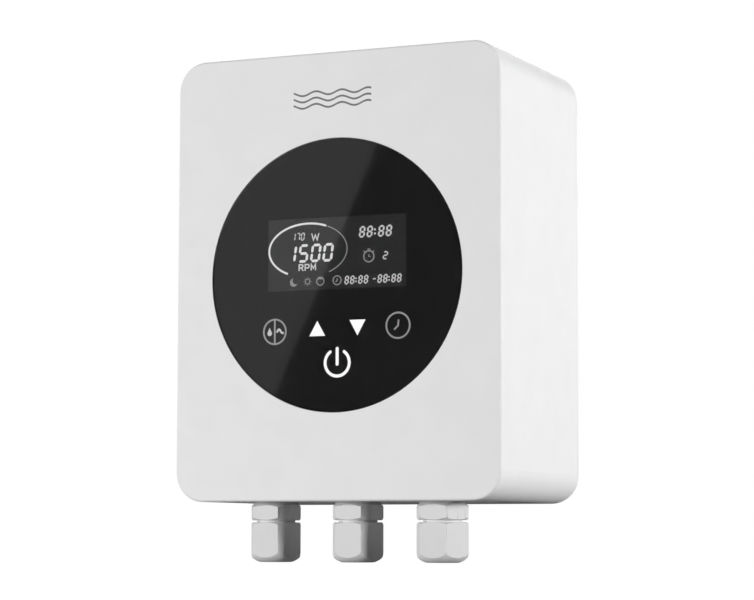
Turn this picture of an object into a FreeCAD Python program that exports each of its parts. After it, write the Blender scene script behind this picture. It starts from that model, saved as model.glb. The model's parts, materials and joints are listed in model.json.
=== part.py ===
import FreeCAD, Part
import math
import os

# Wall-mounted variable-speed pump controller, in millimetres.
# Frame: origin at the centre of the wall bracket's four screw holes, on the wall plane y = 0.
# +X is to the right as seen from the front, +Y goes into the wall, +Z is up. The front faces -Y.

V = FreeCAD.Vector
UP, BACK = V(0, 0, 1), V(0, 1, 0)

# ---- Driving dimensions -------------------------------------------------------------------------
CASE_W = 161.0
CASE_H = 204.0
CASE_D = 100.0
CASE_R = 13.5
WALL = 3.0
WALL_GAP = 12.0
COVER_T = 3.0
COVER_EDGE_R = 1.0
GLASS_R = 62.2
GLASS_T = 1.1
ADHESIVE_T = 0.3
WINDOW_R = 54.0

REAR_Y = -WALL_GAP
FRONT_Y = REAR_Y - CASE_D
RIM_Y = FRONT_Y + COVER_T
FLOOR_Y = REAR_Y - WALL
BOTTOM_Z = -CASE_H / 2
GLASS_REAR_Y = FRONT_Y + GLASS_T

# Fit and assembly gaps
RUN_GAP = 0.15
EASE = 0.3

# Cover joint
SKIRT_T = 2.0
SKIRT_DEPTH = 6.0
SEAL_INSET = 0.9
SEAL_W = 1.2
SEAL_T = 1.0
CORNER_X = CASE_W / 2 - 12.5
CORNER_Z = CASE_H / 2 - 12.5
COLUMN_R = 5.8
COUNTERBORE_R = 4.25
HEAD_SEAT_Y = REAR_Y - 3.6
COLUMN_END_Y = FRONT_Y + 13.0
M4_R = 2.0
M4_CLEAR_R = 2.25
M4_HEAD_R = 3.8
M4_HEAD_T = 2.8
INSERT_R = 3.0
INSERT_LEN = 8.0

# Display and touch keys, on the front face
LCD_C = (0.5, 9.8)
LCD_W, LCD_H = 74.0, 37.0
LCD_GLASS_T = 2.2
BACKLIGHT_T = 4.0
LCD_FRAME_RIM = 2.4
KEY_POINTS = ((-30.3, -25.0), (-8.9, -24.3), (11.1, -24.3), (31.0, -24.0), (1.1, -40.0))
KEY_SPRING_R = 3.5
KEY_SPRING_WIRE = 0.6
BATTERY_AT = (28.0, -22.0)
BATTERY_R, BATTERY_T = 10.0, 3.2
HOLDER_FLOOR, HOLDER_T = 1.2, 5.0
BUZZER_AT = (-28.0, -22.0)
BUZZER_R, BUZZER_T, BUZZER_PORT_R = 6.0, 8.5, 1.0
# Microcontroller, display driver, regulator and crystal: centre x, z, then width, height, thickness
CONTROL_CHIPS = ((0, 12, 12, 12, 1.4), (22, 14, 10, 7, 1.2), (-22, 16, 6.5, 6, 1.8), (-18, 4, 5, 2, 1.0))
BOARD_T = 1.6
CONTROL_Y = FRONT_Y + 11.0
CONTROL_SIZE = 104.0
CONTROL_BOSS = 45.0
BOSS_R = 3.5
BLIND_END = 8.0
M3_R = 1.5
M3_HEAD_R = 2.8
M3_HEAD_T = 2.0

# Heat sink in the rear wall
SINK_CZ = 8.0
SINK_W, SINK_H, SINK_T = 110.0, 130.0, 5.0
SINK_GASKET_T = 1.0
SINK_HOLE_W, SINK_HOLE_H, SINK_HOLE_R = 94.0, 118.0, 3.0
SINK_SCREW_X, SINK_SCREW_Z = 51.0, 61.5
SINK_SCREW_LEFT = 0.6
FIN_COUNT = 11
FIN_T = 1.8
FIN_PITCH = 8.6
FIN_H = 114.0
FIN_TIP_Y = -7.0
SINK_FRONT_Y = FLOOR_Y - SINK_GASKET_T - SINK_T

# Power board
POWER_Y = -37.6
POWER_REAR_Y = POWER_Y + BOARD_T
POWER_W, POWER_H, POWER_CZ = 116.0, 168.0, 8.0
POWER_BOSS_X = 53.0
POWER_BOSS_Z = (-70.0, 86.0)
PAD_T = 0.5
MODULE_CZ, MODULE_W, MODULE_H, MODULE_T = 30.0, 60.0, 30.0, 7.0
BRIDGE_CZ, BRIDGE_W, BRIDGE_H, BRIDGE_T = -20.0, 30.0, 20.0, 4.6
LEG_W, LEG_T = 1.2, 0.8
MODULE_LEG_ROW, BRIDGE_LEG_ROW = 14.0, 8.0
BRIDGE_LEG_X = (-11.0, -3.7, 3.7, 11.0)
CAPACITOR_POINTS = ((-40.0, 72.0), (-40.0, 44.0), (-40.0, 16.0))
CAPACITOR_R, CAPACITOR_H = 12.5, 40.0
# Film capacitors: centre x, z, then width, height, thickness
FILTER_CAPACITORS = ((39, 80, 18, 10, 16), (39, 66, 14, 8, 14), (-8, -38, 26, 9, 18))
CHOKE_AT = (34.0, -12.0)
CHOKE_R, CHOKE_BORE_R, CHOKE_T = 15.0, 9.0, 13.0
CHOKE_WIRE_T = 1.6
PFC_AT = (14.0, 62.0)
PFC_SIZE, PFC_COIL_W = 30.0, 19.4
PFC_NEAR, PFC_FAR, PFC_YOKE = 2.0, 30.0, 5.0
RELAY_AT = (-42.0, -20.0)
RELAY_W, RELAY_H, RELAY_T = 20.0, 16.0, 15.5
FUSE_AT = (-42.0, -40.0)
FUSE_R, FUSE_LEN, FUSE_AXIS_Y = 2.6, 20.0, POWER_Y - 5.5
FUSE_CLIP_X, FUSE_CLIP_T = 9.0, 9.5
TERMINAL_Z, TERMINAL_H, TERMINAL_T = -66.0, 12.0, 14.0
TERMINAL_WELL = 7.0
TERMINAL_SCREW_R, TERMINAL_SCREW_T = 2.0, 3.8
# Terminal blocks: centre x, number of poles, pitch
MAINS_BLOCK = (-33.0, 3, 7.62)
SIGNAL_BLOCK = (0.0, 4, 5.08)
MOTOR_BLOCK = (31.0, 4, 7.62)

# Flat cable between the two boards
RIBBON_W, RIBBON_T = 14.0, 0.9
RIBBON_X = 40.0
RIBBON_RISE, RIBBON_BEND_R = 12.0, 6.0
PLUG_Z = 28.0
PLUG_H, PLUG_D = 6.0, 5.0

# Cable glands under the case
GLAND_X = (-41.8, 0.0, 41.8)
GLAND_Y = FRONT_Y + 26.0
GLAND_AF = 22.0
GLAND_GASKET_T = 1.2
GLAND_HEX_T = 7.0
GLAND_LENGTH = 27.4
GLAND_THREAD_R = 9.3
GLAND_HOLE_R = 9.5
GLAND_TOP = 11.0
NUT_THREAD_R = 8.9
NECK_END = 17.0
CABLE_BORE_R = 5.6
SEAL_FROM = 10.0
SEAL_R = 6.5
SEAL_BORE_R = 5.2
CAGE_R, CAGE_BORE_R = 8.6, 6.6
LOCKNUT_T = 5.0
HEX_CHAMFER = math.radians(30)
NUT_GAP = 1.0
NUT_TOP = GLAND_GASKET_T + GLAND_HEX_T + NUT_GAP
NUT_BORE_R = NUT_THREAD_R + RUN_GAP
NUT_EXIT_R = 5.9
NOSE_R = 7.0
NOSE_FROM, NOSE_MID = 23.0, 25.3
CONE_FROM, CONE_TO = 18.0, 25.6
CONE_END_R = 7.4
CLAW_COUNT = 6

# Hanging studs and wall bracket
STUD_X, STUD_Z = 62.5, 40.0
STUD_NECK_R = 3.0
STUD_NECK_LEN = 2.5
STUD_HEAD_R = 5.2
STUD_HEAD_T = 2.6
STUD_BOSS_R, STUD_BOSS_T = 5.0, 9.0
STUD_THREAD_LEN = 7.0
SHEET_T = 2.0
BEND_R = 1.5
PLATE_W, PLATE_H = 110.0, 120.0
LIP_FRONT_Y = REAR_Y + 0.2
LIP_OUT = 70.0
LIP_BELOW, LIP_ABOVE = 10.0, 9.0
SCREW_DX, SCREW_DZ = 35.0, 40.0
WALL_SCREW_R = 2.75


# ---- Helpers ------------------------------------------------------------------------------------
def box(x0, x1, y0, y1, z0, z1):
    return Part.makeBox(x1 - x0, y1 - y0, z1 - z0, V(x0, y0, z0))


def block(cx, cz, w, h, y0, y1):
    """A plain block with its centre at (cx, cz), seen from the front."""
    return box(cx - w / 2, cx + w / 2, y0, y1, cz - h / 2, cz + h / 2)


def rounded(cx, cz, w, h, r, y0, y1):
    """A block whose four edges along Y are rounded."""
    solid = block(cx, cz, w, h, y0, y1)
    return solid.makeFillet(r, [e for e in solid.Edges if along(e, BACK)])


def along(edge, axis):
    """True for a straight edge that runs along the axis."""
    ends = edge.Vertexes
    if len(ends) != 2:
        return False
    run = ends[1].Point.sub(ends[0].Point)
    return run.Length > 0 and abs(abs(run.dot(axis)) - run.Length) < 1e-6


def rod(x, z, r, y0, y1):
    """A cylinder along Y."""
    return Part.makeCylinder(r, y1 - y0, V(x, y0, z), BACK)


def pillar(x, y, r, z0, z1):
    """A cylinder along Z."""
    return Part.makeCylinder(r, z1 - z0, V(x, y, z0), UP)


def fuse(shapes):
    whole = shapes[0]
    for shape in shapes[1:]:
        whole = whole.fuse(shape)
    return whole.removeSplitter()


def cut(shape, tools):
    for tool in tools:
        shape = shape.cut(tool)
    return shape


def soften(shape, r, wanted):
    """Round the edges that the test picks out."""
    return shape.makeFillet(r, [e for e in shape.Edges if wanted(e)])


def on_plane_y(y):
    """Test for edges that lie in the plane y."""
    return lambda e: abs(e.BoundBox.YMin - y) < 1e-4 and abs(e.BoundBox.YMax - y) < 1e-4


def turned(points, x, y):
    """Revolve a closed outline of (radius, z) points about a vertical axis at (x, y)."""
    wire = Part.makePolygon([V(x + r, y, z) for r, z in points + points[:1]])
    return Part.Face(wire).revolve(V(x, y, 0), UP, 360)


def hexagon(x, y, af, z0, z1):
    """A hexagonal prism along Z with two of its flats facing -Y and +Y."""
    corner = af / math.sqrt(3)
    turn = [math.radians(60 * i) for i in range(7)]
    ring = [V(x + corner * math.cos(a), y + corner * math.sin(a), z0) for a in turn]
    return Part.Face(Part.makePolygon(ring)).extrude(V(0, 0, z1 - z0))


def screw(x, z, r, head_r, head_t, y_seat, y_tip, back):
    """A pan-head screw along Y with a cross recess. back is +1 if its head is on the +Y side of the seat."""
    top, recess = y_seat + back * head_t, y_seat + back * head_t / 2
    solid = rod(x, z, head_r, *sorted((y_seat, top))).fuse(rod(x, z, r, *sorted((y_seat, y_tip))))
    arm, width = head_r, head_r / 4
    y0, y1 = sorted((recess, top + back))
    return cut(solid, [block(x, z, arm, width, y0, y1), block(x, z, width, arm, y0, y1)])


def corners(x, z):
    return [(sx * x, sz * z) for sx in (-1, 1) for sz in (-1, 1)]


# ---- Case ---------------------------------------------------------------------------------------
def main_housing():
    """Deep moulded tub, open at the front, with corner columns, bosses and gland holes."""
    shell = rounded(0, 0, CASE_W, CASE_H, CASE_R, RIM_Y, REAR_Y)
    shell = soften(shell, COVER_EDGE_R, on_plane_y(REAR_Y))
    inner_r = CASE_R - WALL
    shell = shell.cut(rounded(0, 0, CASE_W - 2 * WALL, CASE_H - 2 * WALL, inner_r, RIM_Y - 1, FLOOR_Y))
    columns = [rod(x, z, COLUMN_R, COLUMN_END_Y, FLOOR_Y) for x, z in corners(CORNER_X, CORNER_Z)]
    board = [rod(x, z, BOSS_R, POWER_REAR_Y, FLOOR_Y) for x, z in power_boss_points()]
    studs = [rod(x, z, STUD_BOSS_R, FLOOR_Y - STUD_BOSS_T, FLOOR_Y) for x, z in corners(STUD_X, STUD_Z)]
    shell = fuse([shell] + columns + board + studs)
    tools = [rod(x, z, COUNTERBORE_R, HEAD_SEAT_Y, REAR_Y + 1) for x, z in corners(CORNER_X, CORNER_Z)]
    tools += [rod(x, z, M4_CLEAR_R, COLUMN_END_Y - 1, HEAD_SEAT_Y) for x, z in corners(CORNER_X, CORNER_Z)]
    tools += [rod(x, z, M3_R, POWER_REAR_Y - 1, FLOOR_Y - BLIND_END) for x, z in power_boss_points()]
    tools += [rod(x, z, M4_R, FLOOR_Y - BLIND_END, REAR_Y + 1) for x, z in corners(STUD_X, STUD_Z)]
    tools += [pillar(x, GLAND_Y, GLAND_HOLE_R, BOTTOM_Z - 1, BOTTOM_Z + WALL + 1) for x in GLAND_X]
    tools.append(rounded(0, SINK_CZ, SINK_HOLE_W, SINK_HOLE_H, SINK_HOLE_R, FLOOR_Y - 1, REAR_Y + 1))
    tools.append(seal_ring(0.0))
    tools += [rod(x, z, M3_R, FLOOR_Y - 1, REAR_Y - SINK_SCREW_LEFT) for x, z in sink_screw_points()]
    return cut(shell, tools)


def seal_ring(ease):
    """The cover seal's groove, or the seal itself when ease trims its sides."""
    inset, width = SEAL_INSET + ease, SEAL_W - 2 * ease
    r = CASE_R - inset
    outer = rounded(0, 0, CASE_W - 2 * inset, CASE_H - 2 * inset, r, RIM_Y, RIM_Y + SEAL_T)
    inset += width
    r = CASE_R - inset
    return outer.cut(rounded(0, 0, CASE_W - 2 * inset, CASE_H - 2 * inset, r, RIM_Y - 1, RIM_Y + SEAL_T + 1))


def front_cover():
    """Front plate with a flush seat for the round glass, a skirt and screw bosses."""
    plate = rounded(0, 0, CASE_W, CASE_H, CASE_R, FRONT_Y, RIM_Y)
    plate = soften(plate, COVER_EDGE_R, on_plane_y(FRONT_Y))
    out_w, out_h = CASE_W - 2 * WALL - 2 * EASE, CASE_H - 2 * WALL - 2 * EASE
    out_r = CASE_R - WALL - EASE
    in_w, in_h = out_w - 2 * SKIRT_T, out_h - 2 * SKIRT_T
    skirt = rounded(0, 0, out_w, out_h, out_r, RIM_Y, RIM_Y + SKIRT_DEPTH)
    skirt = skirt.cut(rounded(0, 0, in_w, in_h, out_r - SKIRT_T, RIM_Y - 1, RIM_Y + SKIRT_DEPTH + 1))
    bosses = [rod(x, z, INSERT_R + 2, RIM_Y, COLUMN_END_Y) for x, z in corners(CORNER_X, CORNER_Z)]
    posts = [rod(x, z, BOSS_R, RIM_Y, CONTROL_Y) for x, z in corners(CONTROL_BOSS, CONTROL_BOSS)]
    shape = fuse([plate, skirt] + bosses + posts)
    seat_y = GLASS_REAR_Y + ADHESIVE_T
    tools = [rod(0, 0, GLASS_R + 0.15, FRONT_Y - 1, seat_y), rod(0, 0, WINDOW_R, seat_y - 1, RIM_Y + 1)]
    tools += [rod(x, z, INSERT_R, COLUMN_END_Y - INSERT_LEN, COLUMN_END_Y + 1)
              for x, z in corners(CORNER_X, CORNER_Z)]
    tools += [rod(x, z, M3_R, CONTROL_Y - 6, CONTROL_Y + 1) for x, z in corners(CONTROL_BOSS, CONTROL_BOSS)]
    return cut(shape, tools)


def cover_screws():
    """Long screws that run from the rear face through the corner columns into the cover's inserts."""
    return [screw(x, z, M4_R - 0.05, M4_HEAD_R, M4_HEAD_T, HEAD_SEAT_Y, COLUMN_END_Y - INSERT_LEN + 1, 1)
            for x, z in corners(CORNER_X, CORNER_Z)]


def cover_inserts():
    """Brass inserts that take the cover screws."""
    return [rod(x, z, INSERT_R, COLUMN_END_Y - INSERT_LEN, COLUMN_END_Y)
            .cut(rod(x, z, M4_R, COLUMN_END_Y - INSERT_LEN - 1, COLUMN_END_Y + 1))
            for x, z in corners(CORNER_X, CORNER_Z)]


# ---- Display and controls -----------------------------------------------------------------------
def touch_glass():
    disc = rod(0, 0, GLASS_R, FRONT_Y, GLASS_REAR_Y)
    return disc.makeChamfer(0.2, [e for e in disc.Edges if on_plane_y(FRONT_Y)(e)])


def glass_adhesive():
    ring = rod(0, 0, GLASS_R - 0.5, GLASS_REAR_Y, GLASS_REAR_Y + ADHESIVE_T)
    return ring.cut(rod(0, 0, WINDOW_R + 0.5, GLASS_REAR_Y - 1, GLASS_REAR_Y + ADHESIVE_T + 1))


def lcd_panel():
    y0 = GLASS_REAR_Y + EASE
    return block(*LCD_C, LCD_W, LCD_H, y0, y0 + LCD_GLASS_T)


def lcd_backlight():
    y0 = GLASS_REAR_Y + EASE + LCD_GLASS_T
    return block(*LCD_C, LCD_W, LCD_H, y0, y0 + BACKLIGHT_T)


def lcd_frame():
    """Moulded tray that holds the display and its light off the board."""
    y0 = GLASS_REAR_Y + EASE
    floor_y = y0 + LCD_GLASS_T + BACKLIGHT_T
    tray = block(*LCD_C, LCD_W + 2 * LCD_FRAME_RIM, LCD_H + 2 * LCD_FRAME_RIM, y0, CONTROL_Y)
    pocket = block(*LCD_C, LCD_W + 0.2, LCD_H + 0.2, y0 - 1, floor_y)
    window = block(*LCD_C, LCD_W - 10, LCD_H - 10, floor_y - 1, CONTROL_Y + 1)
    return cut(tray, [pocket, window])


def control_board():
    board = rounded(0, 0, CONTROL_SIZE, CONTROL_SIZE, 6, CONTROL_Y, CONTROL_Y + BOARD_T)
    return cut(board, [rod(x, z, M3_R + 0.2, CONTROL_Y - 1, CONTROL_Y + BOARD_T + 1)
                       for x, z in corners(CONTROL_BOSS, CONTROL_BOSS)])


def touch_springs():
    """One conductive coil per key, drawn as a thin sleeve between the board and the glass."""
    sleeves = []
    for x, z in KEY_POINTS:
        outer = rod(x, z, KEY_SPRING_R, GLASS_REAR_Y, CONTROL_Y)
        sleeves.append(outer.cut(rod(x, z, KEY_SPRING_R - KEY_SPRING_WIRE, GLASS_REAR_Y - 1, CONTROL_Y + 1)))
    return sleeves


def control_screws():
    seat = CONTROL_Y + BOARD_T
    return [screw(x, z, M3_R - 0.05, M3_HEAD_R, M3_HEAD_T, seat, CONTROL_Y - 5, 1)
            for x, z in corners(CONTROL_BOSS, CONTROL_BOSS)]


def control_chips():
    """Packages soldered to the board's rear face."""
    y0 = CONTROL_Y + BOARD_T
    return [block(x, z, w, h, y0, y0 + t) for x, z, w, h, t in CONTROL_CHIPS]


def battery_holder():
    y0 = CONTROL_Y + BOARD_T
    x, z = BATTERY_AT
    floor_y, top_y = y0 + HOLDER_FLOOR, y0 + HOLDER_T
    cup = rod(x, z, BATTERY_R + 2, y0, top_y)
    thumb_gap = block(x, z - BATTERY_R - 3, 3 * BATTERY_R, 9, floor_y, top_y + 1)
    return cut(cup, [rod(x, z, BATTERY_R + 0.2, floor_y, top_y + 1), thumb_gap])


def clock_battery():
    y0 = CONTROL_Y + BOARD_T + HOLDER_FLOOR
    return soften(rod(*BATTERY_AT, BATTERY_R, y0, y0 + BATTERY_T), 0.5, on_plane_y(y0 + BATTERY_T))


def buzzer():
    y0 = CONTROL_Y + BOARD_T
    y1 = y0 + BUZZER_T
    return rod(*BUZZER_AT, BUZZER_R, y0, y1).cut(rod(*BUZZER_AT, BUZZER_PORT_R, y1 - 1, y1 + 1))


# ---- Heat sink ----------------------------------------------------------------------------------
def sink_screw_points():
    return [(sx * SINK_SCREW_X, SINK_CZ + sz * SINK_SCREW_Z) for sx in (-1, 1) for sz in (-1, 0, 1)]


def heat_sink():
    """Base plate inside the rear wall, with upright fins that reach out behind the case."""
    base_rear = SINK_FRONT_Y + SINK_T
    base = block(0, SINK_CZ, SINK_W, SINK_H, SINK_FRONT_Y, base_rear)
    first = -(FIN_COUNT - 1) / 2 * FIN_PITCH
    fins = [block(first + i * FIN_PITCH, SINK_CZ, FIN_T, FIN_H, base_rear - 1, FIN_TIP_Y)
            for i in range(FIN_COUNT)]
    return cut(fuse([base] + fins), [rod(x, z, M3_R + 0.2, SINK_FRONT_Y - 1, base_rear + 1)
                                     for x, z in sink_screw_points()])


def heat_sink_seal():
    y0 = FLOOR_Y - SINK_GASKET_T
    ring = block(0, SINK_CZ, SINK_W - 1, SINK_H - 1, y0, FLOOR_Y)
    ring = ring.cut(block(0, SINK_CZ, SINK_HOLE_W + 2, SINK_HOLE_H + 2, y0 - 1, FLOOR_Y + 1))
    return cut(ring, [rod(x, z, M3_R + 0.2, y0 - 1, FLOOR_Y + 1) for x, z in sink_screw_points()])


def heat_sink_screws():
    return [screw(x, z, M3_R - 0.05, M3_HEAD_R, M3_HEAD_T, SINK_FRONT_Y, REAR_Y - SINK_SCREW_LEFT - 0.2, -1)
            for x, z in sink_screw_points()]


# ---- Power electronics --------------------------------------------------------------------------
def power_boss_points():
    return [(sx * POWER_BOSS_X, z) for sx in (-1, 1) for z in POWER_BOSS_Z]


def power_board():
    board = block(0, POWER_CZ, POWER_W, POWER_H, POWER_Y, POWER_REAR_Y)
    return cut(board, [rod(x, z, M3_R + 0.2, POWER_Y - 1, POWER_REAR_Y + 1) for x, z in power_boss_points()])


def power_board_screws():
    return [screw(x, z, M3_R - 0.05, M3_HEAD_R, M3_HEAD_T, POWER_Y, POWER_REAR_Y + 6, -1)
            for x, z in power_boss_points()]


def thermal_pads():
    y0, y1 = SINK_FRONT_Y - PAD_T, SINK_FRONT_Y
    return [block(0, MODULE_CZ, MODULE_W, MODULE_H, y0, y1), block(0, BRIDGE_CZ, BRIDGE_W, BRIDGE_H, y0, y1)]


def power_module():
    """Inverter module lying on the heat sink, with two rows of legs up to the board."""
    y1 = SINK_FRONT_Y - PAD_T
    y0 = y1 - MODULE_T
    case = block(0, MODULE_CZ, MODULE_W, MODULE_H, y0, y1)
    legs = [block(x, MODULE_CZ + side * MODULE_LEG_ROW, LEG_W, LEG_T, POWER_REAR_Y, y0)
            for side in (-1, 1) for x in range(-27, 28, 6)]
    return fuse([case] + legs)


def bridge_rectifier():
    y1 = SINK_FRONT_Y - PAD_T
    y0 = y1 - BRIDGE_T
    case = block(0, BRIDGE_CZ, BRIDGE_W, BRIDGE_H, y0, y1)
    legs = [block(x, BRIDGE_CZ + BRIDGE_LEG_ROW, LEG_W, LEG_W, POWER_REAR_Y, y0) for x in BRIDGE_LEG_X]
    return fuse([case] + legs)


def dc_capacitors():
    """Electrolytic capacitors with a crimped neck near the board."""
    cans = []
    top = POWER_Y - CAPACITOR_H
    for x, z in CAPACITOR_POINTS:
        can = soften(rod(x, z, CAPACITOR_R, top, POWER_Y), 0.8, on_plane_y(top))
        neck = rod(x, z, CAPACITOR_R + 1, POWER_Y - 4.5, POWER_Y - 3)
        cans.append(can.cut(neck.cut(rod(x, z, CAPACITOR_R - 0.6, POWER_Y - 5, POWER_Y - 2))))
    return cans


def filter_capacitors():
    y1 = POWER_Y
    return [block(x, z, w, h, y1 - t, y1) for x, z, w, h, t in FILTER_CAPACITORS]


def choke_core():
    y0, y1 = POWER_Y - CHOKE_T - 3, POWER_Y - 3
    return rod(*CHOKE_AT, CHOKE_R, y0, y1).cut(rod(*CHOKE_AT, CHOKE_BORE_R, y0 - 1, y1 + 1))


def choke_windings():
    """Two copper windings on opposite halves of the ring, drawn as sleeves round the core."""
    x, z = CHOKE_AT
    y0, y1 = POWER_Y - CHOKE_T - 3.1, POWER_Y - 2.9
    r_out, r_in, t = CHOKE_R + 0.1, CHOKE_BORE_R - 0.1, CHOKE_WIRE_T
    outer = rod(x, z, r_out + t, y0 - t, y1 + t).cut(rod(x, z, r_in - t, y0 - 3, y1 + 3))
    hollow = rod(x, z, r_out, y0, y1).cut(rod(x, z, r_in, y0 - 1, y1 + 1))
    gap = block(x, z, 2 * CHOKE_R + 10, 7, y0 - 3, y1 + 3)
    return outer.cut(hollow).cut(gap).Solids


def pfc_core():
    """Ferrite core of the power-factor inductor: two side posts joined front and rear of the coil."""
    x, z = PFC_AT
    y0, y1 = POWER_Y - PFC_FAR, POWER_Y - PFC_NEAR
    body = block(x, z, PFC_SIZE, PFC_SIZE, y0, y1)
    return body.cut(block(x, z, PFC_COIL_W + 0.6, PFC_SIZE + 1, y0 + PFC_YOKE, y1 - PFC_YOKE))


def pfc_coil():
    y0, y1 = POWER_Y - PFC_FAR + PFC_YOKE + 0.4, POWER_Y - PFC_NEAR - PFC_YOKE - 0.4
    coil = block(*PFC_AT, PFC_COIL_W, PFC_SIZE - 4, y0, y1)
    return soften(coil, 2.5, lambda e: along(e, UP))


def relay():
    case = block(*RELAY_AT, RELAY_W, RELAY_H, POWER_Y - RELAY_T, POWER_Y)
    return soften(case, 0.8, on_plane_y(POWER_Y - RELAY_T))


def fuse_clips():
    x, z = FUSE_AT
    clips = []
    for side in (-1, 1):
        cheek = block(x + side * FUSE_CLIP_X, z, 4.5, 8, POWER_Y - FUSE_CLIP_T, POWER_Y)
        seat = Part.makeCylinder(FUSE_R + 0.1, 2 * FUSE_LEN, V(x - FUSE_LEN, FUSE_AXIS_Y, z), V(1, 0, 0))
        clips.append(cheek.cut(seat))
    return clips


def fuse_link():
    x, z = FUSE_AT
    return Part.makeCylinder(FUSE_R, FUSE_LEN, V(x - FUSE_LEN / 2, FUSE_AXIS_Y, z), V(1, 0, 0))


def terminal_block(cx, poles, pitch):
    """Rising-cage terminal block: wire mouths face down, screws face the front."""
    front_y = POWER_Y - TERMINAL_T
    shape = block(cx, TERMINAL_Z, poles * pitch + 1.5, TERMINAL_H, front_y, POWER_Y)
    mouth_z = TERMINAL_Z - TERMINAL_H / 2
    for x in terminal_points(cx, poles, pitch):
        shape = shape.cut(rod(x, TERMINAL_Z, TERMINAL_SCREW_R + 0.2, front_y - 1, front_y + TERMINAL_WELL))
        shape = shape.cut(box(x - 2, x + 2, POWER_Y - 6.5, POWER_Y - 2, mouth_z - 1, TERMINAL_Z + 2))
    return shape


def terminal_points(cx, poles, pitch):
    first = cx - (poles - 1) / 2 * pitch
    return [first + i * pitch for i in range(poles)]


def terminal_screws():
    """Slotted clamp screws sunk in the three terminal blocks."""
    screws = []
    for row in (MAINS_BLOCK, SIGNAL_BLOCK, MOTOR_BLOCK):
        for x in terminal_points(*row):
            foot_y = POWER_Y - TERMINAL_T + TERMINAL_WELL - 0.2
            top_y = foot_y - TERMINAL_SCREW_T
            head = rod(x, TERMINAL_Z, TERMINAL_SCREW_R, top_y, foot_y)
            slot = block(x, TERMINAL_Z, 2 * TERMINAL_SCREW_R + 1, 0.7, top_y - 1, top_y + 1)
            screws.append(head.cut(slot))
    return screws


# ---- Wiring held inside the case ----------------------------------------------------------------
def ribbon_plugs():
    """The two cable plugs, one on the rear of the control board and one on the power board."""
    rear = CONTROL_Y + BOARD_T
    return [block(RIBBON_X, PLUG_Z, RIBBON_W + 4, PLUG_H, rear, rear + PLUG_D),
            block(RIBBON_X, PLUG_Z, RIBBON_W + 4, PLUG_H, POWER_Y - PLUG_D, POWER_Y)]


def ribbon_cable():
    """Flat cable between the plugs: straight out of each, with one slack loop upwards."""
    y0, y1 = CONTROL_Y + BOARD_T + PLUG_D, POWER_Y - PLUG_D
    mid, r = (y0 + y1) / 2, RIBBON_BEND_R
    route = [(y0, PLUG_Z), (y0 + 8, PLUG_Z), (mid, PLUG_Z + RIBBON_RISE), (y1 - 8, PLUG_Z), (y1, PLUG_Z)]
    edges, last = [], point_yz(route[0])
    for a, b, c in zip(route, route[1:], route[2:]):
        a, b, c = point_yz(a), point_yz(b), point_yz(c)
        into, out = b.sub(a).normalize(), c.sub(b).normalize()
        turn = into.getAngle(out)
        trim = r * math.tan(turn / 2)
        start, end = b.sub(into * trim), b.add(out * trim)
        bisect = out.sub(into).normalize()
        middle = b.add(bisect * (r / math.cos(turn / 2) - r))
        edges += [Part.LineSegment(last, start).toShape(), Part.Arc(start, middle, end).toShape()]
        last = end
    edges.append(Part.LineSegment(last, point_yz(route[-1])).toShape())
    path = Part.Wire(edges)
    x0, x1 = RIBBON_X - RIBBON_W / 2, RIBBON_X + RIBBON_W / 2
    z0, z1 = PLUG_Z - RIBBON_T / 2, PLUG_Z + RIBBON_T / 2
    section = Part.makePolygon([V(x0, y0, z0), V(x1, y0, z0), V(x1, y0, z1), V(x0, y0, z1), V(x0, y0, z0)])
    return path.makePipeShell([section], True, False)


def point_yz(p):
    return V(RIBBON_X, p[0], p[1])


# ---- Cable glands -------------------------------------------------------------------------------
def chamfered_hex(x, y, af, z0, z1, low, high):
    """A hexagon whose corners are turned off by a 30 degree cone at the ends that are asked for."""
    corner, flat = af / math.sqrt(3) + 0.01, af / 2 - 0.15
    drop = (corner - flat) * math.tan(HEX_CHAMFER)
    outline = [(0, z0)]
    outline += [(flat, z0), (corner, z0 + drop)] if low else [(corner, z0)]
    outline += [(corner, z1 - drop), (flat, z1)] if high else [(corner, z1)]
    outline.append((0, z1))
    return hexagon(x, y, af, z0, z1).common(turned(outline, x, y))


def gland_body(x):
    """Hexagon flange with a threaded neck into the case and one below for the dome nut."""
    z = BOTTOM_Z
    top = z - GLAND_GASKET_T
    shape = chamfered_hex(x, GLAND_Y, GLAND_AF, top - GLAND_HEX_T, top, True, True)
    shape = fuse([shape, pillar(x, GLAND_Y, GLAND_THREAD_R, top - 1, z + GLAND_TOP),
                  pillar(x, GLAND_Y, NUT_THREAD_R, z - NECK_END, top - GLAND_HEX_T + 1)])
    return cut(shape, [pillar(x, GLAND_Y, CABLE_BORE_R, z - NECK_END - 1, z + GLAND_TOP + 1),
                       pillar(x, GLAND_Y, SEAL_R + EASE, z - NECK_END - 1, z - SEAL_FROM + 1)])


def gland_gasket(x):
    ring = pillar(x, GLAND_Y, GLAND_AF / 2 - 0.4, BOTTOM_Z - GLAND_GASKET_T, BOTTOM_Z)
    return ring.cut(pillar(x, GLAND_Y, GLAND_THREAD_R + 0.05, BOTTOM_Z - 3, BOTTOM_Z + 1))


def gland_locknut(x):
    z0 = BOTTOM_Z + WALL
    nut = chamfered_hex(x, GLAND_Y, GLAND_AF, z0, z0 + LOCKNUT_T, False, True)
    return nut.cut(pillar(x, GLAND_Y, GLAND_THREAD_R + 0.05, z0 - 1, z0 + LOCKNUT_T + 1))


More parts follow.
